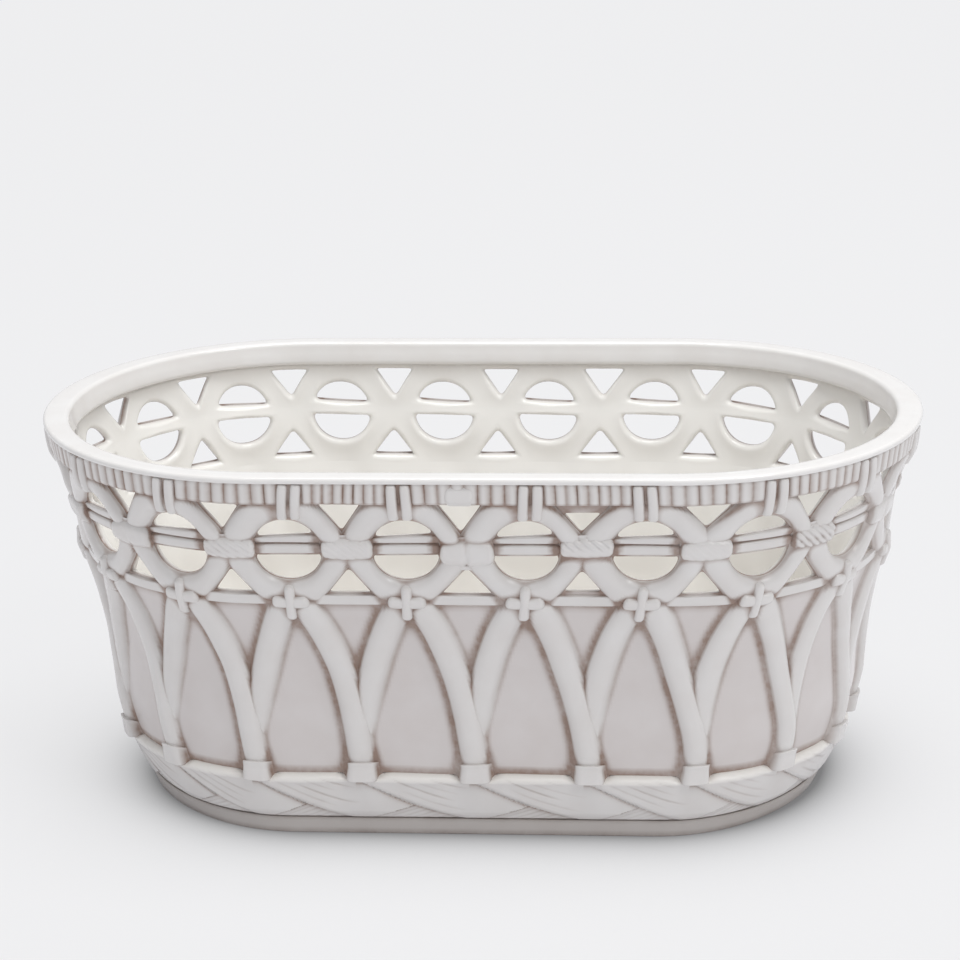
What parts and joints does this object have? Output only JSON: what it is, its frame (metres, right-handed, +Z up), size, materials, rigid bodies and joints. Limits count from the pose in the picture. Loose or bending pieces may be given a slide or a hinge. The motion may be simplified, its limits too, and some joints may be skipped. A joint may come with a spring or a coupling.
{
  "type": "oval cachepot",
  "caption": "Oval openwork ceramic cachepot with basketwork relief: bound rings, pointed arches, twin wraps, a plaited base and a flat lip, made to hold potted plants",
  "frame": {"origin": "Middle of the underside, on the surface that the foot ring stands on", "axes": "+Z up, +X along the length, +Y across the width toward the back long side"},
  "size_m": [0.4, 0.227, 0.176],
  "materials": {
    "shell_glaze": "gloss",
    "relief_glaze": "satin",
    "lip_glaze": "gloss",
    "foot_glaze": "satin"
  },
  "bodies": {
    "root": {"body_shell": "shell_glaze", "foot_ring": "foot_glaze", "rim_lip": "lip_glaze", "fluted_collar": "relief_glaze", "tie_rail": "relief_glaze", "plaited_band": "relief_glaze", "ring_01": "relief_glaze", "ring_02": "relief_glaze", "ring_03": "relief_glaze", "ring_04": "relief_glaze", "ring_05": "relief_glaze", "ring_06": "relief_glaze", "ring_07": "relief_glaze", "ring_08": "relief_glaze", "ring_09": "relief_glaze", "ring_10": "relief_glaze", "ring_11": "relief_glaze", "ring_12": "relief_glaze", "ring_13": "relief_glaze", "ring_14": "relief_glaze", "ring_15": "relief_glaze", "ring_16": "relief_glaze", "ring_17": "relief_glaze", "ring_18": "relief_glaze", "ring_19": "relief_glaze", "ring_20": "relief_glaze", "binding_01": "relief_glaze", "binding_02": "relief_glaze", "binding_03": "relief_glaze", "binding_04": "relief_glaze", "binding_05": "relief_glaze", "binding_06": "relief_glaze", "binding_07": "relief_glaze", "binding_08": "relief_glaze", "binding_09": "relief_glaze", "binding_10": "relief_glaze", "binding_11": "relief_glaze", "binding_12": "relief_glaze", "binding_13": "relief_glaze", "binding_14": "relief_glaze", "binding_15": "relief_glaze", "binding_16": "relief_glaze", "binding_17": "relief_glaze", "binding_18": "relief_glaze", "binding_19": "relief_glaze", "binding_20": "relief_glaze", "arch_pair_01": "relief_glaze", "arch_pair_02": "relief_glaze", "arch_pair_03": "relief_glaze", "arch_pair_04": "relief_glaze", "arch_pair_05": "relief_glaze", "arch_pair_06": "relief_glaze", "arch_pair_07": "relief_glaze", "arch_pair_08": "relief_glaze", "arch_pair_09": "relief_glaze", "arch_pair_10": "relief_glaze"}
  },
  "joints": []
}
